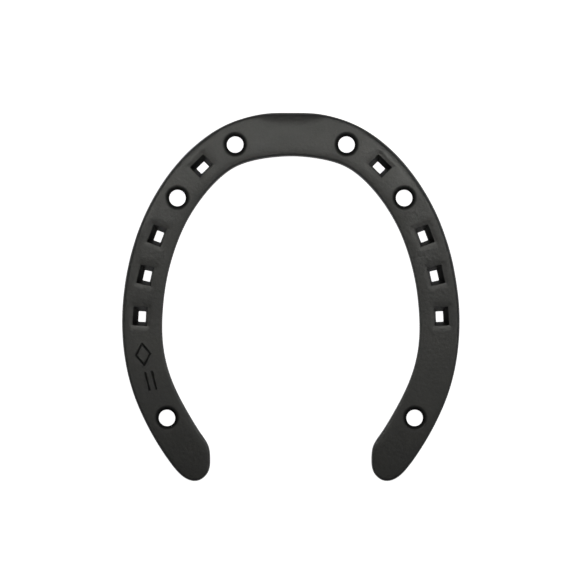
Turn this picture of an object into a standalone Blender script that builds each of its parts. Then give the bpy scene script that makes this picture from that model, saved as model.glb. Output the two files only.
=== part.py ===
"""A machine-made horseshoe: one steel forging with eight nail holes and six tapped stud holes.

It lies flat with its hoof side down on z = 0 and its ground side up. The toe points to +Y
and the two heels to -Y. The origin is under the middle of its length and width.
Sizes are in millimetres, and MM turns them into Blender's metres.

Run with: blender --background --python part.py
"""

import math

import bmesh
import bpy
import numpy as np
from mathutils import Matrix, Vector

MM = 0.001

# --- bar ---------------------------------------------------------------------------------
THICKNESS = 8.0
EDGE_RADIUS = 1.1  # rolled corners of the bar
EDGE_SEGMENTS = 3
STEPS = 3  # straight runs between two stations of the outline

# Right half of the outline, as stations (x, y) that a smooth curve passes through.
# The left half mirrors it.
OUTER_EDGE = [
    (0.0, 73.6),
    (9.0, 73.4),
    (18.0, 71.7),
    (26.5, 68.5),
    (36.0, 62.4),
    (44.3, 54.6),
    (52.3, 44.0),
    (58.3, 33.0),
    (63.0, 20.4),
    (66.1, 6.6),
    (67.4, -6.5),
    (67.2, -17.0),
    (65.5, -29.2),
    (62.0, -41.2),
    (57.0, -52.2),
    (51.2, -62.0),
    (46.4, -68.6),
    (43.2, -71.8),
]
HEEL_TIP = [(40.4, -73.3), (38.4, -73.6), (36.5, -73.2), (34.7, -72.0), (33.4, -70.4)]
INNER_EDGE = [
    (32.6, -68.2),
    (32.4, -64.5),
    (32.9, -60.2),
    (36.0, -54.9),
    (40.8, -47.2),
    (45.2, -39.1),
    (49.0, -29.7),
    (51.1, -20.4),
    (51.6, -11.5),
    (51.0, -1.2),
    (49.2, 9.6),
    (46.4, 19.4),
    (42.3, 29.2),
    (36.2, 39.0),
    (28.4, 47.7),
    (22.0, 52.2),
    (15.2, 54.6),
    (8.0, 55.9),
    (0.0, 56.4),
]

# --- nail holes: four in each branch -----------------------------------------------------
# (x, y) of the hole at the hoof side and the direction from the bar's inside to its
# outside, in degrees above +X.
NAIL_HOLES = [(35.3, 51.8, 45.4), (52.9, 24.2, 20.5), (57.5, 8.4, 12.5), (59.6, -7.9, 3.0)]
SHANK_ACROSS, SHANK_ALONG = 2.95, 4.2  # punched hole for the nail's shank
SEAT_ACROSS, SEAT_ALONG = 6.0, 7.7  # tapered seat for its head, at the ground side
SEAT_DEPTH = 5.0
SEAT_OFFSET = 0.7  # the seat lies outward of the shank, so the nail leans in with the hoof
SEAT_SHIFT = 0.1  # and a little towards the toe
THROUGH = 1.0  # how far each cutter passes the faces

# --- stud holes: three in each branch, M8 x 1.25 -----------------------------------------
STUD_HOLES = [(22.3, 61.0), (45.4, 39.6), (49.6, -48.5)]
STUD_BORE = 6.65  # inner diameter of the thread
COUNTERSINK = 8.8  # diameter at the ground side, 90 degrees
BORE_SIDES = 32

# --- rolled toe --------------------------------------------------------------------------
ROLL_WIDTH = 4.8  # at the middle, from the outer edge
ROLL_DROP = 2.2
ROLL_RADIUS = 75.0
ROLL_LENGTH = 60.0


def closed_spline(stations, steps):
    """Points along a closed cubic spline through the stations, with steps points for each."""
    p = np.array(stations, float)
    n = len(p)
    h = np.linalg.norm(np.roll(p, -1, axis=0) - p, axis=1)
    slope = (np.roll(p, -1, axis=0) - p) / h[:, None]
    system = np.zeros((n, n))
    for i in range(n):
        system[i, i - 1] += h[i - 1]
        system[i, i] += 2 * (h[i - 1] + h[i])
        system[i, (i + 1) % n] += h[i]
    bend = np.linalg.solve(system, 6 * (slope - np.roll(slope, 1, axis=0)))
    points = []
    for i in range(n):
        j = (i + 1) % n
        for k in range(steps):
            a = h[i] * k / steps
            b = h[i] - a
            points.append(
                (bend[i] * b**3 + bend[j] * a**3) / (6 * h[i])
                + (p[i] / h[i] - bend[i] * h[i] / 6) * b
                + (p[j] / h[i] - bend[j] * h[i] / 6) * a
            )
    return points


def both_sides(places):
    """Each place (x, y, ...angle) on the right branch, and its mirror image on the left."""
    for x, y, *angle in places:
        yield (x, y, *angle)
        yield (-x, y, *(180.0 - a for a in angle))


def steel():
    material = bpy.data.materials.new("black_forged_steel")
    material.use_nodes = True
    shader = material.node_tree.nodes["Principled BSDF"]
    shader.inputs["Base Color"].default_value = (0.045, 0.045, 0.042, 1.0)
    shader.inputs["Metallic"].default_value = 0.7
    shader.inputs["Roughness"].default_value = 0.5
    material.diffuse_color = (0.045, 0.045, 0.042, 1.0)
    return material


def object_from(bm, name, collection):
    mesh = bpy.data.meshes.new(name)
    bm.to_mesh(mesh)
    bm.free()
    obj = bpy.data.objects.new(name, mesh)
    collection.objects.link(obj)
    return obj


def bar_blank(name, collection):
    """The bent bar without its holes: the outline filled and given its thickness."""
    right = OUTER_EDGE + HEEL_TIP + INNER_EDGE
    left = [(-x, y) for x, y in reversed(right) if x > 0]
    outline = closed_spline(right + left, STEPS)

    data = bpy.data.curves.new("outline", "CURVE")
    data.dimensions = "2D"
    data.fill_mode = "BOTH"
    data.extrude = THICKNESS * MM / 2
    spline = data.splines.new("POLY")
    spline.points.add(len(outline) - 1)
    for point, (x, y) in zip(spline.points, outline):
        point.co = (x * MM, y * MM, 0.0, 1.0)
    spline.use_cyclic_u = True
    curve = bpy.data.objects.new("outline", data)
    curve.location.z = THICKNESS * MM / 2
    collection.objects.link(curve)
    bpy.context.view_layer.update()

    evaluated = curve.evaluated_get(bpy.context.evaluated_depsgraph_get())
    mesh = bpy.data.meshes.new_from_object(evaluated)
    mesh.name = name
    blank = bpy.data.objects.new(name, mesh)
    blank.matrix_world = curve.matrix_world.copy()
    bpy.data.objects.remove(curve)

    bm = bmesh.new()
    bm.from_mesh(mesh)
    bmesh.ops.remove_doubles(bm, verts=bm.verts, dist=0.00001)
    bmesh.ops.dissolve_limit(bm, angle_limit=0.001, verts=bm.verts, edges=bm.edges)
    bmesh.ops.recalc_face_normals(bm, faces=bm.faces)
    bm.to_mesh(mesh)
    bm.free()
    collection.objects.link(blank)
    return blank


def nail_punch(bm, x, y, angle):
    """A four-sided punch: straight through at the hoof side, then widening to the head seat."""
    turn = Matrix.Rotation(math.radians(angle), 2)
    toeward = math.copysign(SEAT_SHIFT, x)
    beyond = (SEAT_DEPTH + THROUGH) / SEAT_DEPTH

    def section(z, t):
        across = SHANK_ACROSS + (SEAT_ACROSS - SHANK_ACROSS) * t
        along = SHANK_ALONG + (SEAT_ALONG - SHANK_ALONG) * t
        corners = []
        for u, v in ((-1, -1), (1, -1), (1, 1), (-1, 1)):
            flat = turn @ Vector((SEAT_OFFSET * t + u * across / 2, toeward * t + v * along / 2))
            corners.append(bm.verts.new(((x + flat.x) * MM, (y + flat.y) * MM, z * MM)))
        return corners

    rings = [
        section(-THROUGH, 0.0),
        section(THICKNESS - SEAT_DEPTH, 0.0),
        section(THICKNESS + THROUGH, beyond),
    ]
    bm.faces.new(reversed(rings[0]))
    bm.faces.new(rings[-1])
    for low, high in zip(rings, rings[1:]):
        for i in range(4):
            j = (i + 1) % 4
            bm.faces.new((low[i], low[j], high[j], high[i]))


def nail_cutter(collection):
    bm = bmesh.new()
    for x, y, angle in both_sides(NAIL_HOLES):
        nail_punch(bm, x, y, angle)
    bmesh.ops.recalc_face_normals(bm, faces=bm.faces)
    return object_from(bm, "nail_punches", collection)


def stud_drill(bm, x, y):
    """A turned cutter: the bore, and the 90 degree countersink that opens past the face."""
    bore, wide = STUD_BORE / 2, COUNTERSINK / 2
    profile = [
        (0.0, -THROUGH),
        (bore, -THROUGH),
        (bore, THICKNESS - (wide - bore)),
        (wide + THROUGH, THICKNESS + THROUGH),
        (0.0, THICKNESS + THROUGH),
    ]
    points = [bm.verts.new(((x + r) * MM, y * MM, z * MM)) for r, z in profile]
    edges = [bm.edges.new(pair) for pair in zip(points, points[1:])]
    bmesh.ops.spin(
        bm,
        geom=points + edges,
        cent=(x * MM, y * MM, 0.0),
        axis=(0.0, 0.0, 1.0),
        angle=math.tau,
        steps=BORE_SIDES,
        use_merge=True,
    )


def drill_cutter(collection):
    bm = bmesh.new()
    for x, y in both_sides(STUD_HOLES):
        stud_drill(bm, x, y)
    bmesh.ops.remove_doubles(bm, verts=bm.verts, dist=0.00001)
    bmesh.ops.recalc_face_normals(bm, faces=bm.faces)
    return object_from(bm, "stud_drills", collection)


def roll_cutter(collection):
    """A large cylinder, tipped forward, that scoops the ground side off the toe's outer edge."""
    tip = math.atan2(ROLL_DROP, ROLL_WIDTH)
    start = Vector((0.0, OUTER_EDGE[0][1] - ROLL_WIDTH, THICKNESS))
    up = Vector((0.0, math.sin(tip), math.cos(tip)))
    bm = bmesh.new()
    bmesh.ops.create_cone(
        bm,
        cap_ends=True,
        segments=128,
        radius1=ROLL_RADIUS * MM,
        radius2=ROLL_RADIUS * MM,
        depth=ROLL_LENGTH * MM,
        matrix=Matrix.Translation((start + up * ROLL_RADIUS) * MM)
        @ Matrix.Rotation(math.radians(90) - tip, 4, "X").inverted(),
    )
    return object_from(bm, "toe_roll", collection)


def main():
    for obj in list(bpy.data.objects):
        bpy.data.objects.remove(obj)

    parts = bpy.data.collections.new("horseshoe")
    cutters = bpy.data.collections.new("cutters")
    for collection in (parts, cutters):
        bpy.context.scene.collection.children.link(collection)
    cutters.hide_render = True

    shoe = bar_blank("shoe_forging", parts)
    shoe.data.materials.append(steel())

    edges = shoe.modifiers.new("rolled_corners", "BEVEL")
    edges.width = EDGE_RADIUS * MM
    edges.segments = EDGE_SEGMENTS
    edges.limit_method = "ANGLE"
    edges.angle_limit = math.radians(50)

    for cutter in (
        roll_cutter(cutters),
        nail_cutter(cutters),
        drill_cutter(cutters),
    ):
        cutter.hide_render = True
        cutter.display_type = "WIRE"
        cut = shoe.modifiers.new(cutter.name, "BOOLEAN")
        cut.operation = "DIFFERENCE"
        cut.solver = "EXACT"
        cut.object = cutter

    shoe.data.shade_smooth()
    shoe.data.set_sharp_from_angle(angle=math.radians(30))


main()
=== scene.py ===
"""The looks of a forged steel horseshoe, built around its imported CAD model.

The CAD node is one plain solid. This script stands a fine mesh of the same forging in its
place: rolled corners, a rolled toe, punched and drawn-in nail holes, tapped stud holes with
their thread, and punch marks. All shape is made in millimetres in the frame of the CAD.
"""

import math

import bpy
import bmesh
import numpy as np
from mathutils import Matrix, Vector, kdtree
from mathutils.geometry import delaunay_2d_cdt


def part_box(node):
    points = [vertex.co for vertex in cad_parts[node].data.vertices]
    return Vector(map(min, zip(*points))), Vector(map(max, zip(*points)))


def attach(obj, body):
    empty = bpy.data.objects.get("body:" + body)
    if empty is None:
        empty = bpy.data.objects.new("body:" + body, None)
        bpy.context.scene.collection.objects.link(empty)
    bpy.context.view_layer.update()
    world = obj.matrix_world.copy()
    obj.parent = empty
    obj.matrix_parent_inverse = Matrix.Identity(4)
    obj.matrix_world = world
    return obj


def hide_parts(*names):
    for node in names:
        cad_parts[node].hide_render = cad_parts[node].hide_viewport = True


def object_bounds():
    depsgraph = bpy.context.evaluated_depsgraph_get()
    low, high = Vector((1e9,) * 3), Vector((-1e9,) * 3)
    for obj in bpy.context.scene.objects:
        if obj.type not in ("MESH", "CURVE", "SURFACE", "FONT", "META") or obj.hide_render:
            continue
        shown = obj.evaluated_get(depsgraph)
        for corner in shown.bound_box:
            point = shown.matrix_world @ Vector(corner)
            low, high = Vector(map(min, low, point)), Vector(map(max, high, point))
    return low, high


MM = 0.001
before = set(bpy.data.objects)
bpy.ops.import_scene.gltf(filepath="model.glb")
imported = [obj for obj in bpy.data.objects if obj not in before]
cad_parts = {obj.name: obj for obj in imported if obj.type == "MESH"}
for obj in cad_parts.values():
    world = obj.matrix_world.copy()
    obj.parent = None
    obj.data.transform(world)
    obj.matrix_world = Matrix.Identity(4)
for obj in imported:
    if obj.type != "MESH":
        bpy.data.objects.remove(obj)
cad_low, cad_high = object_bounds()
NODE = "shoe_forging"
low, high = (np.array(corner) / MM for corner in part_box(NODE))
THICKNESS = float(high[2] - low[2])
rng = np.random.default_rng(7)

# ------------------------------------------------------------------------------ design
# The stations, holes and marks of the forging, in mm. The outline and the holes are the
# same as in the CAD.
OUTER_EDGE = [
    (0.0, 73.6), (9.0, 73.4), (18.0, 71.7), (26.5, 68.5), (36.0, 62.4), (44.3, 54.6),
    (52.3, 44.0), (58.3, 33.0), (63.0, 20.4), (66.1, 6.6), (67.4, -6.5), (67.2, -17.0),
    (65.5, -29.2), (62.0, -41.2), (57.0, -52.2), (51.2, -62.0), (46.4, -68.6), (43.2, -71.8),
]
HEEL_TIP = [(40.4, -73.3), (38.4, -73.6), (36.5, -73.2), (34.7, -72.0), (33.4, -70.4)]
INNER_EDGE = [
    (32.6, -68.2), (32.4, -64.5), (32.9, -60.2), (36.0, -54.9), (40.8, -47.2), (45.2, -39.1),
    (49.0, -29.7), (51.1, -20.4), (51.6, -11.5), (51.0, -1.2), (49.2, 9.6), (46.4, 19.4),
    (42.3, 29.2), (36.2, 39.0), (28.4, 47.7), (22.0, 52.2), (15.2, 54.6), (8.0, 55.9),
    (0.0, 56.4),
]
NAIL_HOLES = [(35.3, 51.8, 45.4), (52.9, 24.2, 20.5), (57.5, 8.4, 12.5), (59.6, -7.9, 3.0)]
STUD_HOLES = [(22.3, 61.0), (45.4, 39.6), (49.6, -48.5)]
SHANK_ACROSS, SHANK_ALONG = 2.95, 4.2
SEAT_ACROSS, SEAT_ALONG = 6.0, 7.7
SEAT_DEPTH, SEAT_OFFSET, SEAT_SHIFT = 5.0, 0.7, 0.1
THREAD_MINOR, THREAD_MAJOR, THREAD_PITCH = 6.65, 8.0, 1.25
FLARE_WIDTH, FLARE_DEPTH, FLARE_POWER = 1.95, 1.6, 2.5  # the drawn-in mouth of a stud hole

HOOF_RADIUS = 0.9
INSET = -0.03  # of the wall's top and bottom from the outline; it swells by 0.11 half way up
ROLL_WIDTH, ROLL_HALF, ROLL_RATE = 6.2, 16.0, 0.030

# Light, as radiance
KEY, TOP, LOW, FAR, HORIZON, FLOOR_GLOW = 5.05, 0.02, 0.25, 0.85, 0.12, 0.55


# ------------------------------------------------------------------------------ curves
def closed_spline(stations, steps):
    p = np.array(stations, float)
    n = len(p)
    h = np.linalg.norm(np.roll(p, -1, axis=0) - p, axis=1)
    slope = (np.roll(p, -1, axis=0) - p) / h[:, None]
    system = np.zeros((n, n))
    for i in range(n):
        system[i, i - 1] += h[i - 1]
        system[i, i] += 2 * (h[i - 1] + h[i])
        system[i, (i + 1) % n] += h[i]
    bend = np.linalg.solve(system, 6 * (slope - np.roll(slope, 1, axis=0)))
    out = []
    for i in range(n):
        j = (i + 1) % n
        a = h[i] * np.arange(steps)[:, None] / steps
        b = h[i] - a
        out.append(
            (bend[i] * b**3 + bend[j] * a**3) / (6 * h[i])
            + (p[i] / h[i] - bend[i] * h[i] / 6) * b
            + (p[j] / h[i] - bend[j] * h[i] / 6) * a
        )
    return np.concatenate(out)


def outline_rings():
    """The outline as evenly spaced points, closer at the heel tips, and its outward normals.
    The left half mirrors the right one."""
    right = OUTER_EDGE + HEEL_TIP + INNER_EDGE
    steps = 60
    dense = closed_spline(right + [(-x, y) for x, y in reversed(right) if x > 0], steps)
    half = dense[: (len(right) - 1) * steps + 1]
    step = np.linalg.norm(np.diff(half, axis=0), axis=1)
    turn = np.diff(half, axis=0)
    heading = np.unwrap(np.arctan2(turn[:, 1], turn[:, 0]))
    bend = np.abs(np.gradient(heading)) / step
    bend = np.convolve(np.pad(bend, 40, mode="edge"), np.ones(81) / 81, "valid")
    spacing = np.clip(0.085 / np.maximum(bend, 1e-6), 0.42, 0.95)
    along = np.concatenate([[0.0], np.cumsum(step / spacing)])
    wanted = np.linspace(0.0, along[-1], int(math.ceil(along[-1])) + 1)
    half = np.stack([np.interp(wanted, along, half[:, k]) for k in (0, 1)], axis=1)
    half[0, 0] = half[-1, 0] = 0.0
    points = np.concatenate([half, half[-2:0:-1] * (-1, 1)])
    tangent = np.roll(points, -1, axis=0) - np.roll(points, 1, axis=0)
    normal = np.stack([tangent[:, 1], -tangent[:, 0]], axis=1)
    normal /= np.linalg.norm(normal, axis=1)[:, None]
    # the material is on the right-hand side of this travel
    area = np.sum(points[:, 0] * np.roll(points[:, 1], -1) - np.roll(points[:, 0], -1) * points[:, 1])
    return points, normal if area > 0 else -normal


def inside(points, loop):
    """Even-odd test of many points against a closed loop."""
    x, y = points[:, :1], points[:, 1:]
    x0, y0 = loop[:, 0], loop[:, 1]
    x1, y1 = np.roll(x0, -1), np.roll(y0, -1)
    found = np.zeros(len(points), bool)
    for start in range(0, len(points), 4000):
        s = slice(start, start + 4000)
        crosses = (y0 > y[s]) != (y1 > y[s])
        with np.errstate(divide="ignore", invalid="ignore"):
            at = x0 + (y[s] - y0) * (x1 - x0) / (y1 - y0)
        found[s] = (np.where(crosses, x[s] < at, False).sum(axis=1) % 2).astype(bool)
    return found


def smooth(t):
    t = np.clip(t, 0.0, 1.0)
    return t * t * (3 - 2 * t)


# ------------------------------------------------------------------------- height fields
def value_noise(x, y, cell, seed):
    """Smooth noise from -1 to 1 with features of about one cell."""
    table = np.random.default_rng(seed).uniform(-1, 1, (64, 64))
    u, v = x / cell + 31.7, y / cell + 17.3
    i, j = np.floor(u).astype(int), np.floor(v).astype(int)
    a, b = smooth(u - i), smooth(v - j)
    at = lambda p, q: table[p % 64, q % 64]
    return (at(i, j) * (1 - a) + at(i + 1, j) * a) * (1 - b) + (
        at(i, j + 1) * (1 - a) + at(i + 1, j + 1) * a
    ) * b


def both_branches(places):
    for x, y, *angle in places:
        yield (x, y, *angle)
        yield (-x, y, *(180.0 - a for a in angle))


def rectangle_distance(u, v, half_u, half_v, corner):
    """Signed distance to a rounded rectangle, negative inside."""
    qu, qv = np.abs(u) - half_u + corner, np.abs(v) - half_v + corner
    return (
        np.hypot(np.maximum(qu, 0), np.maximum(qv, 0))
        + np.minimum(np.maximum(qu, qv), 0)
        - corner
    )


def nail_local(x, y, hole):
    """Coordinates in a nail hole's own frame: u outward across the bar, v towards the toe.
    They start at the middle of the seat."""
    cx, cy, angle = hole
    a = math.radians(angle)
    side = 1.0 if cx > 0 else -1.0
    u = (x - cx) * math.cos(a) + (y - cy) * math.sin(a)
    v = (-(x - cx) * math.sin(a) + (y - cy) * math.cos(a)) * side
    return u - SEAT_OFFSET, v - SEAT_SHIFT


SEAT_CORNER = 0.35
EDGE_WEAR = 2.3
TOE_DROP, TOE_REACH = 0.27, 3.4
HEEL_DROP, HEEL_REACH = 0.27, 2.4


def dishing(x, y):
    """How far the metal is drawn down round the punched nail holes: a long shallow slope on
    the toe side and a short steep one on the heel side."""
    drop = np.zeros_like(x)
    for hole in both_branches(NAIL_HOLES):
        u, v = nail_local(x, y, hole)
        half = SEAT_ALONG / 2
        toe = TOE_DROP * np.clip(1 - (v - half) / TOE_REACH, 0, 1) ** 2
        heel = HEEL_DROP * np.clip(1 - (-v - half) / HEEL_REACH, 0, 1) ** 2
        t = smooth((v + half) / SEAT_ALONG)
        along = np.where(v > half, toe, np.where(v < -half, heel, HEEL_DROP + (TOE_DROP - HEEL_DROP) * t))
        aside = np.maximum(np.abs(u) - SEAT_ACROSS / 2, 0)
        reach = 0.75 + 0.45 * smooth((v + half + 1.0) / (SEAT_ALONG + 1.0))
        drop += along * np.exp(-((aside / reach) ** 2))
    return drop


def roll(x, y, edge):
    """The rolled toe: a soft slope that deepens towards the outer edge."""
    width = ROLL_WIDTH * np.clip(1 - np.abs(x / ROLL_HALF) ** 3, 0, 1)
    return np.where(y > 65, ROLL_RATE * np.maximum(width - edge, 0) ** 2, 0.0)


# Punch marks on the left branch: strokes as (x, y) to (x, y).
LOZENGE = [(-59.6, -18.9), (-56.3, -22.7), (-58.7, -27.4), (-62.0, -23.4)]
STROKES = [(LOZENGE[i], LOZENGE[(i + 1) % 4]) for i in range(4)] + [
    ((-58.3, -30.4), (-56.6, -37.2)),
    ((-55.6, -30.0), (-53.9, -36.8)),
]
STROKE_WIDTH, STROKE_DEPTH = 0.86, 0.42


def stroke_distance(x, y):
    best = np.full_like(x, 1e9)
    for (ax, ay), (bx, by) in STROKES:
        dx, dy = bx - ax, by - ay
        t = np.clip(((x - ax) * dx + (y - ay) * dy) / (dx * dx + dy * dy), 0, 1)
        best = np.minimum(best, np.hypot(x - ax - t * dx, y - ay - t * dy))
    return best


def marks(x, y):
    near = (x < -50) & (x > -66) & (y < -14) & (y > -41)
    drop = np.zeros_like(x)
    if near.any():
        # struck by hand: the width and the depth vary along each stroke
        d = stroke_distance(x[near], y[near]) * (1 + 0.22 * value_noise(x[near], y[near], 1.6, 31))
        groove = STROKE_DEPTH * (1 - smooth(d / (STROKE_WIDTH / 2 + 0.12))) ** 0.8
        lip = 0.035 * np.exp(-(((d - STROKE_WIDTH / 2 - 0.22) / 0.18) ** 2))
        drop[near] = groove - lip
    return drop


def edge_lines():
    """The outer edge and the inner edge of the shoe, as points."""
    right = OUTER_EDGE + HEEL_TIP + INNER_EDGE
    steps = 12
    dense = closed_spline(right + [(-x, y) for x, y in reversed(right) if x > 0], steps)
    outer = dense[: (len(OUTER_EDGE) - 1) * steps + 1]
    inner = dense[(len(OUTER_EDGE) + len(HEEL_TIP)) * steps : (len(right) - 1) * steps + 1]
    return [np.concatenate([half, half * (-1, 1)]) for half in (outer, inner)]


EDGE_LINES = edge_lines()


def outer_side(x, y):
    """1 near the outer edge of the bar, 0 near the edge towards the frog."""
    away = []
    for line in EDGE_LINES:
        near = np.empty(len(x))
        for start in range(0, len(x), 4000):
            s = slice(start, start + 4000)
            near[s] = np.hypot(x[s, None] - line[:, 0], y[s, None] - line[:, 1]).min(axis=1)
        away.append(near)
    return smooth(0.5 + 1.3 * (away[1] - away[0]) / (away[0] + away[1]))


def corner_radius(x, y):
    """The rolled corner is fullest along the outer quarters, and tight at the heels."""
    outer = outer_side(x, y)
    fore = smooth((y + 45) / 55)
    inner_toe = smooth((y - 30) / 20) * (1 - outer)
    return 0.95 + 0.55 * outer * fore * (1 - 0.6 * smooth((y - 64) / 5)) + 0.25 * inner_toe


def eased(x, y, edge):
    """The ground face falls away gently before the rolled corner."""
    fore = smooth((y + 45) / 60)
    fore = fore * (1 - 0.6 * smooth((y - 64) / 5))
    soft = (0.05 + 0.09 * fore) * np.exp(-((np.maximum(edge - 0.6, 0) / 1.35) ** 2))
    outer = outer_side(x, y)
    # the outer shoulder at the quarters, dressed a little more on one branch than the other
    spread = np.exp(-(((y - 52) / 11) ** 2)) * np.where(x > 0, 1.0, 0.3)
    shoulder = 0.016 * np.maximum(5.2 - edge, 0) ** 2 * spread * outer
    # the face falls off slowly towards the frog where the bar was bent round, and at the heels
    bent = np.exp(-(((y - 32) / 18) ** 2)) * np.where(x > 0, 1.0, 0.5)
    heel = smooth((-36 - y) / 14) * smooth((y + 72) / 6) * np.where(x > 0, 1.0, 0.6)
    inward = (0.008 * bent * np.maximum(6.2 - edge, 0) ** 2 + 0.018 * heel * np.maximum(4.2 - edge, 0) ** 2) * (1 - outer)
    return soft + shoulder + inward


# Pools of painted light, which are also made less rough as if burnished by the dies: x, y, reach and strength.
LIT_AND_BURNISHED = [
    (41.5, 57.5, 8.0, 1.0), (47.0, 50.0, 6.0, 0.7), (31.0, 57.0, 5.5, 0.8), (44.0, 46.0, 5.0, 0.7),
    (51.5, 33.0, 6.0, 0.8), (55.5, 17.0, 5.0, 0.6), (59.5, 1.5, 4.0, 0.5), (59.0, -16.5, 6.0, 0.8),
    (42.5, -46.5, 4.5, 0.6), (37.5, -55.0, 4.5, 0.8), (35.0, -63.0, 4.5, 0.8), (14.0, 61.0, 6.0, 0.3),
    (-11.0, 61.5, 6.0, 0.4), (-45.0, 45.0, 5.5, 0.8), (-52.0, 34.0, 6.0, 0.8), (-57.5, 14.0, 4.5, 0.6),
    (-61.5, 0.5, 4.5, 0.7), (-60.0, -16.0, 6.0, 1.6), (-59.5, -43.5, 6.0, 0.6),
]


# More pools of painted light, which are only painted paler.
PAINTED_LIGHT_PATCHES = [
    (-60.0, -16.0, 6.0, 1.6), (-57.0, -33.0, 9.0, 0.6), (-51.5, -46.0, 6.0, 0.8),
    (54.0, -44.0, 6.0, 0.7), (31.0, 54.0, 5.0, 0.6), (-42.0, 47.0, 5.0, 0.5),
]


def patches(x, y, places, most):
    total = np.zeros_like(x, dtype=float)
    for cx, cy, reach, strength in places:
        total += strength * np.exp(-(((x - cx) ** 2 + (y - cy) ** 2) / reach**2))
    return np.clip(total, 0, most)


def waviness(x, y):
    return (
        0.020 * value_noise(x, y, 11.0, 3)
        + 0.012 * value_noise(x, y, 5.0, 4)
        + 0.004 * value_noise(x, y, 2.2, 5)
    )


def ground_height(x, y, edge):
    return (
        THICKNESS
        - eased(x, y, edge)
        - roll(x, y, edge)
        - dishing(x, y)
        - marks(x, y)
        + waviness(x, y) * smooth((edge - 0.5) / 2)
    )


def hoof_height(x, y, edge):
    return 0.012 * (1 + value_noise(x, y, 6.0, 9)) * smooth((edge - 0.5) / 2)


# ------------------------------------------------------------------------------- mesh
class Builder:
    """Vertices and faces of one closed mesh."""

    def __init__(self):
        self.points, self.shelter, self.worn, self.faces, self.count = [], [], [], [], 0

    def ring(self, x, y, z, shelter=0.0, worn=0.0):
        """One row of points. shelter is 1 deep in a hole or a mark, and 0 out on a face, and darkens the colour
        there as painted shade.
        worn is how far handling has polished an edge."""
        x, y, z, shelter, worn = np.broadcast_arrays(x, y, z, shelter, worn)
        self.points.append(np.stack([x, y, z], axis=1).astype(float))
        self.shelter.append(np.array(shelter, float))
        self.worn.append(np.array(worn, float))
        start = self.count
        self.count += len(x)
        return np.arange(start, self.count)

    def bridge(self, a, b):
        """Quads between two closed rings of equal length."""
        self.faces.extend(zip(a.tolist(), np.roll(a, -1).tolist(), np.roll(b, -1).tolist(), b.tolist()))

    def sheet(self, loops, inner, keep):
        """A triangulated sheet. loops are index rings that already exist, inner is the indices
        of points inside it, and keep says which triangles, by their middle, belong to it."""
        every = np.concatenate([*loops, inner])
        where = np.concatenate(self.points)[every][:, :2]
        edges, start = [], 0
        for loop in loops:
            n = len(loop)
            edges += [(start + i, start + (i + 1) % n) for i in range(n)]
            start += n
        made, _, faces, origin, _, _ = delaunay_2d_cdt(
            [Vector(p) for p in where], edges, [], 0, 1e-5
        )
        back = []
        for k, sources in enumerate(origin):
            if not sources:
                raise ValueError("two rings of the sheet cross each other")
            back.append(every[sources[0]])
        back = np.array(back)
        flat = np.array([(v.x, v.y) for v in made])
        faces = np.array([f for f in faces if len(f) == 3])
        middle = flat[faces].mean(axis=1)
        self.faces.extend(map(tuple, back[faces[keep(middle)]].tolist()))


def hexagonal(x0, x1, y0, y1, step):
    ys = np.arange(y0, y1, step * math.sqrt(3) / 2)
    out = []
    for k, y in enumerate(ys):
        xs = np.arange(x0 + (step / 2 if k % 2 else 0), x1, step)
        out.append(np.stack([xs, np.full_like(xs, y)], axis=1))
    return np.concatenate(out)


def rounded_rectangle(half_u, half_v, corner, per_corner=6, per_side=6):
    """Points round a rounded rectangle, the same number for every size."""
    out = []
    for q, (su, sv) in enumerate(((1, 1), (-1, 1), (-1, -1), (1, -1))):
        cu, cv = su * (half_u - corner), sv * (half_v - corner)
        first = math.radians(90 * q)
        for k in range(per_corner):
            a = first + math.radians(90) * k / (per_corner - 1)
            out.append((cu + corner * math.cos(a), cv + corner * math.sin(a)))
        nu, nv = ((-1, 1), (-1, -1), (1, -1), (1, 1))[q]
        end = out[-1]
        a = first + math.radians(90)
        begin = (
            nu * (half_u - corner) + corner * math.cos(a),
            nv * (half_v - corner) + corner * math.sin(a),
        )
        for k in range(1, per_side):
            t = k / per_side
            out.append((end[0] + (begin[0] - end[0]) * t, end[1] + (begin[1] - end[1]) * t))
    return np.array(out)


def nail_to_plan(u, v, hole):
    cx, cy, angle = hole
    a = math.radians(angle)
    side = 1.0 if cx > 0 else -1.0
    v = v * side
    return cx + u * math.cos(a) - v * math.sin(a), cy + u * math.sin(a) + v * math.cos(a)


def edge_distance(points, tree):
    return np.array([tree.find((x, y, 0.0))[2] for x, y in points])


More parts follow.
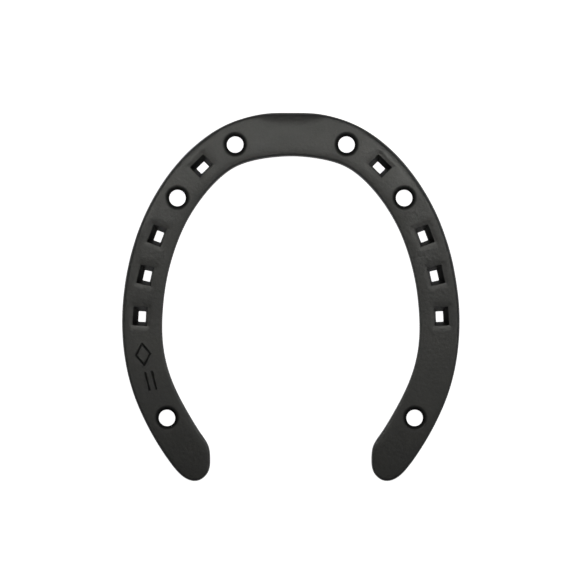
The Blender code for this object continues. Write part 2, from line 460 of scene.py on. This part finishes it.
def build_forging():
    made = Builder()
    line, normal = outline_rings()
    tree = kdtree.KDTree(len(line) * 6)
    fine = np.concatenate([line + (np.roll(line, -1, axis=0) - line) * k / 6 for k in range(6)])
    for i, (x, y) in enumerate(fine):
        tree.insert((x, y, 0.0), i)
    tree.balance()

    ripple = 0.03 * value_noise(line[:, 0], line[:, 1], 9.0, 21)

    def rim(offset):
        p = line - normal * (offset + ripple)[:, None] if np.ndim(offset) == 0 else line - normal * offset[:, None]
        return p[:, 0], p[:, 1]

    def rubbed_edge(x, y, phi):
        """Wear on a rolled corner: most at its middle, and uneven along the bar."""
        patchy = 0.78 + 0.3 * value_noise(x, y, 3.2, 41) + 0.15 * value_noise(x, y, 1.1, 42)
        return EDGE_WEAR * math.sin(2 * phi) ** 1.3 * patchy

    # ground side: the rolled corner, then three rings on the face
    radius = corner_radius(line[:, 0], line[:, 1])
    quarter = np.radians(90)
    ground = []
    steps = 9
    for k in range(steps + 1):
        phi = quarter * k / steps
        offset = radius * (1 - math.cos(phi)) + INSET
        x, y = (line - normal * (offset + ripple)[:, None]).T
        base = THICKNESS - radius * (1 - math.sin(phi))
        z = base + (ground_height(x, y, offset) - THICKNESS)
        ground.append(made.ring(x, y, z, 0.0, rubbed_edge(x, y, phi)))
    for extra in (0.18, 0.4, 0.68):
        offset = radius + INSET + extra
        x, y = (line - normal * (offset + ripple)[:, None]).T
        ground.append(made.ring(x, y, ground_height(x, y, offset)))
    for a, b in zip(ground, ground[1:]):
        made.bridge(a, b)

    # wall: a little fuller at half height, as rolled bar is
    hoof_top = HOOF_RADIUS
    first = np.concatenate(made.points)[ground[0]]
    rows = 7
    wall = [ground[0]]
    for k in range(1, rows):
        t = k / rows
        z = first[:, 2] * (1 - t) + hoof_top * t
        uneven = 0.014 * value_noise(line[:, 0] + 40 * z, line[:, 1], 4.5, 22)
        bulge = 0.11 * (1 - 4 * (t - 0.5) ** 2) + uneven * math.sin(math.pi * t)
        x, y = (line - normal * (INSET - bulge + ripple)[:, None]).T
        wall.append(made.ring(x, y, z))

    # hoof side
    hoof = []
    steps = 6
    for k in range(steps + 1):
        phi = quarter * k / steps
        offset = HOOF_RADIUS * (1 - math.cos(phi)) + INSET
        x, y = (line - normal * (offset + ripple)[:, None]).T
        z = HOOF_RADIUS * (1 - math.sin(phi)) + hoof_height(x, y, np.full(len(x), offset)) * math.sin(phi)
        hoof.append(made.ring(x, y, z, 0.0, 0.7 * rubbed_edge(x, y, phi)))
    for extra in (0.4, 0.9):
        offset = HOOF_RADIUS + INSET + extra
        x, y = (line - normal * (offset + ripple)[:, None]).T
        hoof.append(made.ring(x, y, hoof_height(x, y, np.full(len(x), offset))))
    wall.append(hoof[0])
    for a, b in zip(wall, wall[1:]):
        made.bridge(b, a)
    for a, b in zip(hoof, hoof[1:]):
        made.bridge(b, a)

    ground_loops, hoof_loops = [ground[-1]], [hoof[-1]]
    ground_masks, hoof_masks = [], []

    def plan(index):
        return np.concatenate(made.points)[index][:, :2]

    # nail holes
    for hole in both_branches(NAIL_HOLES):
        rings = []
        floor = THICKNESS - SEAT_DEPTH

        def z_open(t):
            return (t - 0.1) / 0.5

        def section(half_u, half_v, corner, t, z, shelter, worn=0.0):
            p = rounded_rectangle(half_u, half_v, corner)
            x, y = nail_to_plan(p[:, 0] + SEAT_OFFSET * t, p[:, 1] + SEAT_SHIFT * t, hole)
            open_side = smooth(p[:, 1] / half_v)  # the toe side of the hole faces the key light and gets less painted shade
            heel_shade = 1 + 0.5 * smooth(-p[:, 1] / half_v)  # and the heel side gets the most painted shade
            rings.append(
                made.ring(
                    x, y, z(x, y) if callable(z) else np.full(len(x), z),
                    shelter * heel_shade * (1 - 0.8 * open_side * smooth(z_open(t))),
                    worn,
                )
            )

        # from the hoof face up: burred exit, shank hole, ledge, tapered seat
        for grow, z, corner, shelter in (
            (0.55, 0.0, 0.7, 0.0),
            (0.16, 0.0, 0.4, 0.0),
            (0.05, 0.06, 0.32, 0.4),
            (0.0, 0.2, 0.28, 0.8),
        ):
            section(SHANK_ACROSS / 2 + grow, SHANK_ALONG / 2 + grow, corner, 0.0, z, shelter)
        for z in (0.9, 1.8, floor - 0.35, floor - 0.1):
            section(SHANK_ACROSS / 2, SHANK_ALONG / 2, 0.28, 0.0, z, 1.0)
        lip = 0.16
        for t in (0.02, 0.06, 0.2, 0.4, 0.6, 0.78, 0.9):
            across = SHANK_ACROSS + (SEAT_ACROSS - 2 * lip - SHANK_ACROSS) * t
            along = SHANK_ALONG + (SEAT_ALONG - 2 * lip - SHANK_ALONG) * t
            section(across / 2, along / 2, 0.28 + 0.05 * t, t, floor + (SEAT_DEPTH - 0.45) * t, 1.0)
        # the rim, and the drawn-in face round it
        # the painted shade fades out over the rim to the face
        for k in range(6):
            phi = quarter * k / 5
            grow = -lip * math.cos(phi)
            section(
                SEAT_ACROSS / 2 + grow, SEAT_ALONG / 2 + grow, SEAT_CORNER + grow / 2, 1.0,
                lambda x, y: ground_height(x, y, np.full(len(x), 5.0)) - lip * (1 - math.sin(phi)),
                1.0 - k / 5,
                0.8 * EDGE_WEAR * math.sin(2 * phi),
            )
        for grow in (0.12, 0.28, 0.5, 0.78):
            section(
                SEAT_ACROSS / 2 + grow, SEAT_ALONG / 2 + grow, SEAT_CORNER + grow, 1.0,
                lambda x, y: ground_height(x, y, edge_distance(np.stack([x, y], axis=1), tree)),
                0.0,
            )
        for a, b in zip(rings, rings[1:]):
            made.bridge(a, b)
        ground_loops.append(rings[-1])
        hoof_loops.append(rings[0])

    # tapped stud holes
    turns = 64
    theta = np.arange(turns) * math.tau / turns
    minor, major = THREAD_MINOR / 2, THREAD_MAJOR / 2

    def flare_drop(r):
        return FLARE_DEPTH * np.clip(1 - (r - minor) / FLARE_WIDTH, 0, 1) ** FLARE_POWER

    top = THICKNESS - float(flare_drop(major))

    def bore(z):
        phase = (z / THREAD_PITCH - theta / math.tau) % 1.0
        tooth = np.clip(np.abs(phase - 0.5) * 2 * 1.18 - 0.09, 0, 1)  # flats at crest and root
        r = minor + (major - minor) * (1 - tooth)
        r = minor + (r - minor) * smooth((z - 0.3) / 0.7)
        drop = THICKNESS - z
        flare = minor + FLARE_WIDTH * (1 - min(drop / FLARE_DEPTH, 1.0) ** (1 / FLARE_POWER))
        return np.maximum(np.maximum(r, flare), minor + 0.75 - z)

    for cx, cy in both_branches(STUD_HOLES):
        rings = []

        def circle(r, z, shelter):
            x, y = cx + r * np.cos(theta), cy + r * np.sin(theta)
            rings.append(made.ring(x, y, z(x, y) if callable(z) else np.full(turns, z), shelter))

        for grow in (0.55, 0.2):
            circle(minor + 0.75 + grow, 0.0, 0.0)
        # the bore: painted shade from 0.8 mm up
        for z in np.linspace(0.03, top, 88):
            near = smooth((z - 6.0) / (top - 6.0))
            circle(
                bore(z),
                lambda x, y: z + near * (ground_height(x, y, np.full(turns, 5.0)) - THICKNESS),
                float(smooth(z / 0.8)),
            )
        # the flared mouth: painted shade, fading from the bore out to the face
        for t in (0.12, 0.26, 0.42, 0.6, 0.8, 1.0):
            r = major + (minor + FLARE_WIDTH - major) * t
            circle(
                r,
                lambda x, y: ground_height(x, y, edge_distance(np.stack([x, y], axis=1), tree))
                - flare_drop(r),
                1.0 - t,
            )
        circle(
            minor + FLARE_WIDTH + 0.3,
            lambda x, y: ground_height(x, y, edge_distance(np.stack([x, y], axis=1), tree)),
            0.0,
        )
        for a, b in zip(rings, rings[1:]):
            made.bridge(a, b)
        ground_loops.append(rings[-1])
        hoof_loops.append(rings[0])

    def keep_inside(loops):
        outlines = [plan(loop) for loop in loops]

        def keep(middle):
            found = inside(middle, outlines[0])
            for hole in outlines[1:]:
                near = (
                    (middle[:, 0] > hole[:, 0].min()) & (middle[:, 0] < hole[:, 0].max())
                    & (middle[:, 1] > hole[:, 1].min()) & (middle[:, 1] < hole[:, 1].max())
                )
                if near.any():
                    found[near] &= ~inside(middle[near], hole)
            return found

        return keep

    def loop_gap(points, loops, reach):
        """Distance from each point to the nearest loop point; reach is not used."""
        ring_points = np.concatenate([plan(loop) for loop in loops])
        near = kdtree.KDTree(len(ring_points))
        for i, (x, y) in enumerate(ring_points):
            near.insert((x, y, 0.0), i)
        near.balance()
        return np.array([near.find((x, y, 0.0))[2] for x, y in points])

    def field_points(loops, keep, with_marks):
        base = hexagonal(-69, 69, -75, 75, 0.95)
        base = base[keep(base)]
        gap = loop_gap(base, loops, 1.0)
        hole_gap = loop_gap(base, loops[1:], 1.0)
        if not with_marks:
            return base[gap > 0.5]
        mark_gap = np.full(len(base), 9.0)
        near = (base[:, 0] < -48) & (base[:, 1] < -12) & (base[:, 1] > -43)
        mark_gap[near] = stroke_distance(base[near, 0], base[near, 1])
        coarse = base[(gap > 0.5) & (hole_gap > 1.6) & (mark_gap > 1.5)]
        mid = hexagonal(-69, 69, -60, 75, 0.42)
        mid = mid[keep(mid)]
        mid_gap = loop_gap(mid, loops, 1.0)
        mid_hole = loop_gap(mid, loops[1:], 1.0)
        mid = mid[(mid_gap > 0.28) & (mid_hole <= 1.6)]
        box = hexagonal(-66, -50, -41, -15, 0.42)
        box = box[keep(box)]
        d = stroke_distance(box[:, 0], box[:, 1])
        ring = box[(d <= 1.5) & (d > 0.85) & (loop_gap(box, loops, 1.0) > 0.28)]
        fine = hexagonal(-66, -50, -41, -15, 0.115)
        fine = fine[stroke_distance(fine[:, 0], fine[:, 1]) <= 0.85]
        return np.concatenate([coarse, mid, ring, fine])

    for loops, height, with_marks in (
        (ground_loops, ground_height, True),
        (hoof_loops, hoof_height, False),
    ):
        keep = keep_inside(loops)
        points = field_points(loops, keep, with_marks)
        edge = edge_distance(points, tree)
        z = height(points[:, 0], points[:, 1], edge)
        # painted shade in the grooves of the punch marks, by their depth
        deep = np.clip(marks(points[:, 0], points[:, 1]) / STROKE_DEPTH, 0, 1) if with_marks else 0.0
        made.sheet(loops, made.ring(points[:, 0], points[:, 1], z, deep), keep)

    return np.concatenate(made.points), np.concatenate(made.shelter), np.concatenate(made.worn), made.faces


def make_object(name, points, shelter, worn, faces):
    mesh = bpy.data.meshes.new(name)
    mesh.from_pydata((points * MM).tolist(), [], faces)
    mesh.update()
    # shelter: painted shade that darkens the colour deep in holes, stud mouths and punch marks
    mesh.attributes.new("shelter", "FLOAT", "POINT").data.foreach_set("value", shelter)
    ground_side = smooth(points[:, 2] / THICKNESS * 4 - 3)
    # painted light: pale, from both patch lists, makes the colour paler in pools where the surface catches more
    # light
    lit_and_rubbed = patches(points[:, 0], points[:, 1], LIT_AND_BURNISHED, 1.6) * ground_side
    pale = lit_and_rubbed + patches(points[:, 0], points[:, 1], PAINTED_LIGHT_PATCHES, 1.6) * ground_side
    mesh.attributes.new("painted_light_tone", "FLOAT", "POINT").data.foreach_set("value", pale)
    lit_and_rubbed = np.clip(lit_and_rubbed + worn, 0, 2.8)
    mesh.attributes.new("burnish", "FLOAT", "POINT").data.foreach_set("value", lit_and_rubbed)
    # the upright walls, which keep the lines of the rolled bar
    upright = smooth((points[:, 2] - 0.7) / 0.9) * smooth((7.1 - points[:, 2]) / 0.9) * (shelter < 0.01)
    mesh.attributes.new("wall", "FLOAT", "POINT").data.foreach_set("value", upright.astype(float))
    # the scale's grain: coarser at the toe, finer at the heels, and patchy
    coarse = 0.62 + 0.38 * smooth((points[:, 1] + 60) / 70)
    coarse = 0.84 * coarse * (1 + 0.2 * value_noise(points[:, 0] + points[:, 2], points[:, 1], 7.0, 51))
    mesh.attributes.new("grain", "FLOAT", "POINT").data.foreach_set("value", np.clip(coarse, 0.3, 1.0))
    bm = bmesh.new()
    bm.from_mesh(mesh)
    loose = [v for v in bm.verts if not v.link_faces]
    bmesh.ops.delete(bm, geom=loose, context="VERTS")
    bmesh.ops.recalc_face_normals(bm, faces=bm.faces)
    open_edges = sum(1 for e in bm.edges if len(e.link_faces) != 2)
    print("forging:", len(bm.verts), "points", len(bm.faces), "faces", open_edges, "open edges, volume",
          round(bm.calc_volume() / MM**3 / 1000, 2), "cm3")
    bm.to_mesh(mesh)
    bm.free()
    mesh.shade_smooth()
    mesh.set_sharp_from_angle(angle=math.radians(42))
    obj = bpy.data.objects.new(name, mesh)
    bpy.context.scene.collection.objects.link(obj)
    return obj


# --------------------------------------------------------------------------- materials
def node(tree, kind, **values):
    made = tree.nodes.new(kind)
    for key, value in values.items():
        if hasattr(made, key):
            setattr(made, key, value)
        else:
            made.inputs[key.replace("_", " ")].default_value = value
    return made


def steel_material():
    material = bpy.data.materials.new("black_forged_steel")
    material.use_nodes = True
    tree = material.node_tree
    link = tree.links.new
    shader = tree.nodes["Principled BSDF"]
    shader.inputs["Metallic"].default_value = 0.0
    shader.inputs["IOR"].default_value = 1.8
    shader.inputs["Coat Weight"].default_value = 0.25
    shader.inputs["Coat Roughness"].default_value = 0.3
    shader.inputs["Coat IOR"].default_value = 1.5
    place = tree.nodes.new("ShaderNodeTexCoord").outputs["Object"]

    def noise(scale, detail, rough=0.5):
        made = tree.nodes.new("ShaderNodeTexNoise")
        made.inputs["Scale"].default_value = scale
        made.inputs["Detail"].default_value = detail
        made.inputs["Roughness"].default_value = rough
        link(place, made.inputs["Vector"])
        return made.outputs["Fac"]

    def ramp(source, stops):
        made = tree.nodes.new("ShaderNodeValToRGB")
        while len(made.color_ramp.elements) < len(stops):
            made.color_ramp.elements.new(0.5)
        for element, (at, colour) in zip(made.color_ramp.elements, stops):
            element.position = at
            element.color = (*colour, 1.0) if len(colour) == 3 else colour
        link(source, made.inputs["Fac"])
        return made.outputs["Color"]

    def grey(v):
        return (v, v, v)

    # colour: blue-black scale, with warmer and paler clouds
    cloud = ramp(
        noise(85.0, 4.0, 0.55),
        [(0.30, (0.0178, 0.018, 0.0183)), (0.52, (0.022, 0.022, 0.021)), (0.72, (0.0278, 0.0273, 0.0246))],
    )
    speck = ramp(noise(1900.0, 3.0, 0.6), [(0.35, grey(0.80)), (0.65, grey(1.19))])
    mix = tree.nodes.new("ShaderNodeMix")
    mix.data_type = "RGBA"
    mix.blend_type = "MULTIPLY"
    mix.inputs["Factor"].default_value = 1.0
    link(cloud, mix.inputs["A"])
    link(speck, mix.inputs["B"])
    # painted light: pools on the ground face are drawn paler
    lit_pools = tree.nodes.new("ShaderNodeAttribute")
    lit_pools.attribute_name = "painted_light_tone"
    paler = tree.nodes.new("ShaderNodeMath")
    paler.operation = "MULTIPLY_ADD"
    paler.inputs[1].default_value = 0.2
    link(lit_pools.outputs["Fac"], paler.inputs[0])
    # the walls: paler than the faces by 1.05 to 2.1 times, in streaks along the bar
    wall = tree.nodes.new("ShaderNodeAttribute")
    wall.attribute_name = "wall"
    stretch = tree.nodes.new("ShaderNodeVectorMath")
    stretch.operation = "MULTIPLY"
    stretch.inputs[1].default_value = (1.0, 1.0, 22.0)
    link(place, stretch.inputs[0])
    lines = tree.nodes.new("ShaderNodeTexNoise")
    lines.inputs["Scale"].default_value = 65.0
    lines.inputs["Detail"].default_value = 5.0
    lines.inputs["Roughness"].default_value = 0.62
    link(stretch.outputs["Vector"], lines.inputs["Vector"])
    drawn = tree.nodes.new("ShaderNodeMapRange")
    drawn.inputs["From Min"].default_value = 0.3
    drawn.inputs["From Max"].default_value = 0.7
    drawn.inputs["To Min"].default_value = 1.05
    drawn.inputs["To Max"].default_value = 2.1
    link(lines.outputs["Fac"], drawn.inputs["Value"])
    shade = tree.nodes.new("ShaderNodeMix")
    shade.data_type = "FLOAT"
    shade.inputs["A"].default_value = 1.0
    link(wall.outputs["Fac"], shade.inputs["Factor"])
    link(drawn.outputs["Result"], shade.inputs["B"])
    link(shade.outputs["Result"], paler.inputs[2])
    scale = tree.nodes.new("ShaderNodeVectorMath")
    scale.operation = "SCALE"
    link(mix.outputs["Result"], scale.inputs["Vector"])
    link(paler.outputs["Value"], scale.inputs["Scale"])
    # painted shade: shelter darkens the colour to near black deep in holes, stud mouths and marks
    shelter = tree.nodes.new("ShaderNodeAttribute")
    shelter.attribute_name = "shelter"
    recess_shade = tree.nodes.new("ShaderNodeMix")
    recess_shade.data_type = "RGBA"
    recess_shade.inputs["B"].default_value = (0.003, 0.003, 0.003, 1.0)
    link(shelter.outputs["Fac"], recess_shade.inputs["Factor"])
    link(scale.outputs["Vector"], recess_shade.inputs["A"])
    link(recess_shade.outputs["Result"], shader.inputs["Base Color"])

    # roughness: patches of tighter and duller scale
    patch = tree.nodes.new("ShaderNodeMapRange")
    patch.inputs["From Min"].default_value = 0.3
    patch.inputs["From Max"].default_value = 0.7
    patch.inputs["To Min"].default_value = 0.50
    patch.inputs["To Max"].default_value = 0.58
    link(noise(160.0, 5.0, 0.6), patch.inputs["Value"])
    lit_and_rubbed = tree.nodes.new("ShaderNodeAttribute")
    lit_and_rubbed.attribute_name = "burnish"
    tight = tree.nodes.new("ShaderNodeMath")
    tight.operation = "MULTIPLY_ADD"
    tight.inputs[1].default_value = -0.075
    link(lit_and_rubbed.outputs["Fac"], tight.inputs[0])
    link(patch.outputs["Result"], tight.inputs[2])
    dull = tree.nodes.new("ShaderNodeMix")
    dull.data_type = "FLOAT"
    dull.inputs["B"].default_value = 0.9
    link(shelter.outputs["Fac"], dull.inputs["Factor"])
    link(tight.outputs["Value"], dull.inputs["A"])
    link(dull.outputs["Result"], shader.inputs["Roughness"])

    # painted shade deep in the holes and marks: metallic on the near-black colour returns almost nothing
    deep = tree.nodes.new("ShaderNodeMath")
    deep.operation = "MULTIPLY"
    deep.inputs[1].default_value = 0.55
    link(shelter.outputs["Fac"], deep.inputs[0])
    link(deep.outputs["Value"], shader.inputs["Metallic"])

    # relief: fine scale grain over slower hammer and die texture
    coarse = tree.nodes.new("ShaderNodeAttribute")
    coarse.attribute_name = "grain"
    grain = tree.nodes.new("ShaderNodeBump")
    link(coarse.outputs["Fac"], grain.inputs["Strength"])
    grain.inputs["Distance"].default_value = 0.0002
    link(noise(720.0, 4.0, 0.5), grain.inputs["Height"])
    slow = tree.nodes.new("ShaderNodeBump")
    slow.inputs["Strength"].default_value = 0.5
    slow.inputs["Distance"].default_value = 0.00006
    link(noise(420.0, 3.0, 0.5), slow.inputs["Height"])
    link(grain.outputs["Normal"], slow.inputs["Normal"])
    drag = tree.nodes.new("ShaderNodeBump")
    drag.inputs["Distance"].default_value = 0.00012
    link(wall.outputs["Fac"], drag.inputs["Strength"])
    link(lines.outputs["Fac"], drag.inputs["Height"])
    link(slow.outputs["Normal"], drag.inputs["Normal"])
    link(drag.outputs["Normal"], shader.inputs["Normal"])
    return material


def floor_material():
    """A pale light table. The camera sees it lit from below, and it throws little light up."""
    material = bpy.data.materials.new("light_table")
    material.use_nodes = True
    tree = material.node_tree
    tree.nodes.clear()
    pale = tree.nodes.new("ShaderNodeBsdfDiffuse")
    pale.inputs["Color"].default_value = (0.8, 0.8, 0.8, 1.0)
    glow = tree.nodes.new("ShaderNodeEmission")
    glow.inputs["Strength"].default_value = 1.02
    seen = tree.nodes.new("ShaderNodeAddShader")
    dim = tree.nodes.new("ShaderNodeEmission")
    dim.inputs["Strength"].default_value = FLOOR_GLOW
    rays = tree.nodes.new("ShaderNodeLightPath")
    choose = tree.nodes.new("ShaderNodeMixShader")
    out = tree.nodes.new("ShaderNodeOutputMaterial")
    tree.links.new(pale.outputs["BSDF"], seen.inputs[0])
    tree.links.new(glow.outputs["Emission"], seen.inputs[1])
    tree.links.new(rays.outputs["Is Camera Ray"], choose.inputs["Fac"])
    tree.links.new(dim.outputs["Emission"], choose.inputs[1])
    tree.links.new(seen.outputs["Shader"], choose.inputs[2])
    tree.links.new(choose.outputs["Shader"], out.inputs["Surface"])
    return material


# ------------------------------------------------------------------------------- scene
shoe = make_object("horseshoe_forging", *build_forging())
shoe.data.materials.append(steel_material())
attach(shoe, "root")
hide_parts(NODE)

floor_mesh = bpy.data.meshes.new("floor")
side = 4.0
floor_mesh.from_pydata(
    [(-side, -side, 0), (side, -side, 0), (side, side, 0), (-side, side, 0)], [], [(0, 1, 2, 3)]
)
floor = bpy.data.objects.new("floor", floor_mesh)
floor.location.z = cad_low.z - 0.0001
floor_mesh.materials.append(floor_material())
bpy.context.scene.collection.objects.link(floor)


def softbox(name, location, aim, width, height, radiance, colour=(1.0, 1.0, 1.0)):
    data = bpy.data.lights.new(name, "AREA")
    data.shape = "RECTANGLE"
    data.size, data.size_y = width, height
    data.energy = radiance * math.pi * width * height
    data.color = colour
    obj = bpy.data.objects.new(name, data)
    obj.location = location
    obj.rotation_mode = "QUATERNION"
    obj.rotation_quaternion = (Vector(aim) - Vector(location)).to_track_quat("-Z", "Y")
    obj.visible_camera = False
    bpy.context.scene.collection.objects.link(obj)
    return obj


# width runs along X
softbox("toe_strip", (0.0, 0.08, 0.205), (0.0, 0.0, 0.0), 0.4, 0.03, KEY, (1.0, 1.0, 0.945))
softbox("top_fill", (0.0, 0.0, 0.30), (0.0, 0.0, 0.0), 0.5, 0.3, TOP)
softbox("branch_fill", (0.0, -0.03, 0.10), (0.0, -0.03, 0.0), 0.26, 0.03, LOW, (1.0, 1.0, 0.94))
softbox("side_fill", (0.6, 0.0, 1.0), (0.0, 0.0, 0.0), 0.5, 0.5, FAR, (1.0, 1.0, 0.94))

world = bpy.data.worlds.new("studio")
bpy.context.scene.world = world
world.use_nodes = True
tree = world.node_tree
tree.nodes.clear()
seen = tree.nodes.new("ShaderNodeBackground")
seen.inputs["Strength"].default_value = 1.0
seen.inputs["Color"].default_value = (1.0, 1.0, 1.0, 1.0)
room = tree.nodes.new("ShaderNodeBackground")
room.inputs["Strength"].default_value = HORIZON
direction = tree.nodes.new("ShaderNodeTexCoord")
parts = tree.nodes.new("ShaderNodeSeparateXYZ")
fade = tree.nodes.new("ShaderNodeValToRGB")
fade.color_ramp.elements[0].position = 0.05
fade.color_ramp.elements[0].color = (0.93, 0.98, 1.08, 1.0)
fade.color_ramp.elements[1].position = 0.65
fade.color_ramp.elements[1].color = (0.03, 0.03, 0.033, 1.0)
tree.links.new(direction.outputs["Generated"], parts.inputs["Vector"])
tree.links.new(parts.outputs["Z"], fade.inputs["Fac"])
tree.links.new(fade.outputs["Color"], room.inputs["Color"])
rays = tree.nodes.new("ShaderNodeLightPath")
choose = tree.nodes.new("ShaderNodeMixShader")
out = tree.nodes.new("ShaderNodeOutputWorld")
tree.links.new(rays.outputs["Is Camera Ray"], choose.inputs["Fac"])
tree.links.new(room.outputs["Background"], choose.inputs[1])
tree.links.new(seen.outputs["Background"], choose.inputs[2])
tree.links.new(choose.outputs["Shader"], out.inputs["Surface"])

# Camera: straight above, long lens, toe up. 580 pixels span 232.25 mm at the shoe.
SPAN, HEIGHT = 0.23225, 2.6
camera_data = bpy.data.cameras.new("camera")
camera_data.sensor_width = 36.0
camera_data.lens = 36.0 * HEIGHT / SPAN
camera_data.clip_start, camera_data.clip_end = 0.1, 20.0
camera = bpy.data.objects.new("camera", camera_data)
centre = (cad_low + cad_high) / 2
camera.location = (centre.x - 0.000336, centre.y + 0.002745, cad_high.z * 0.6 + HEIGHT)
camera.rotation_euler = (0.0, 0.0, 0.0)
bpy.context.scene.collection.objects.link(camera)
bpy.context.scene.camera = camera
bpy.context.scene.view_settings.view_transform = "Standard"
bpy.context.scene.view_settings.look = "None"
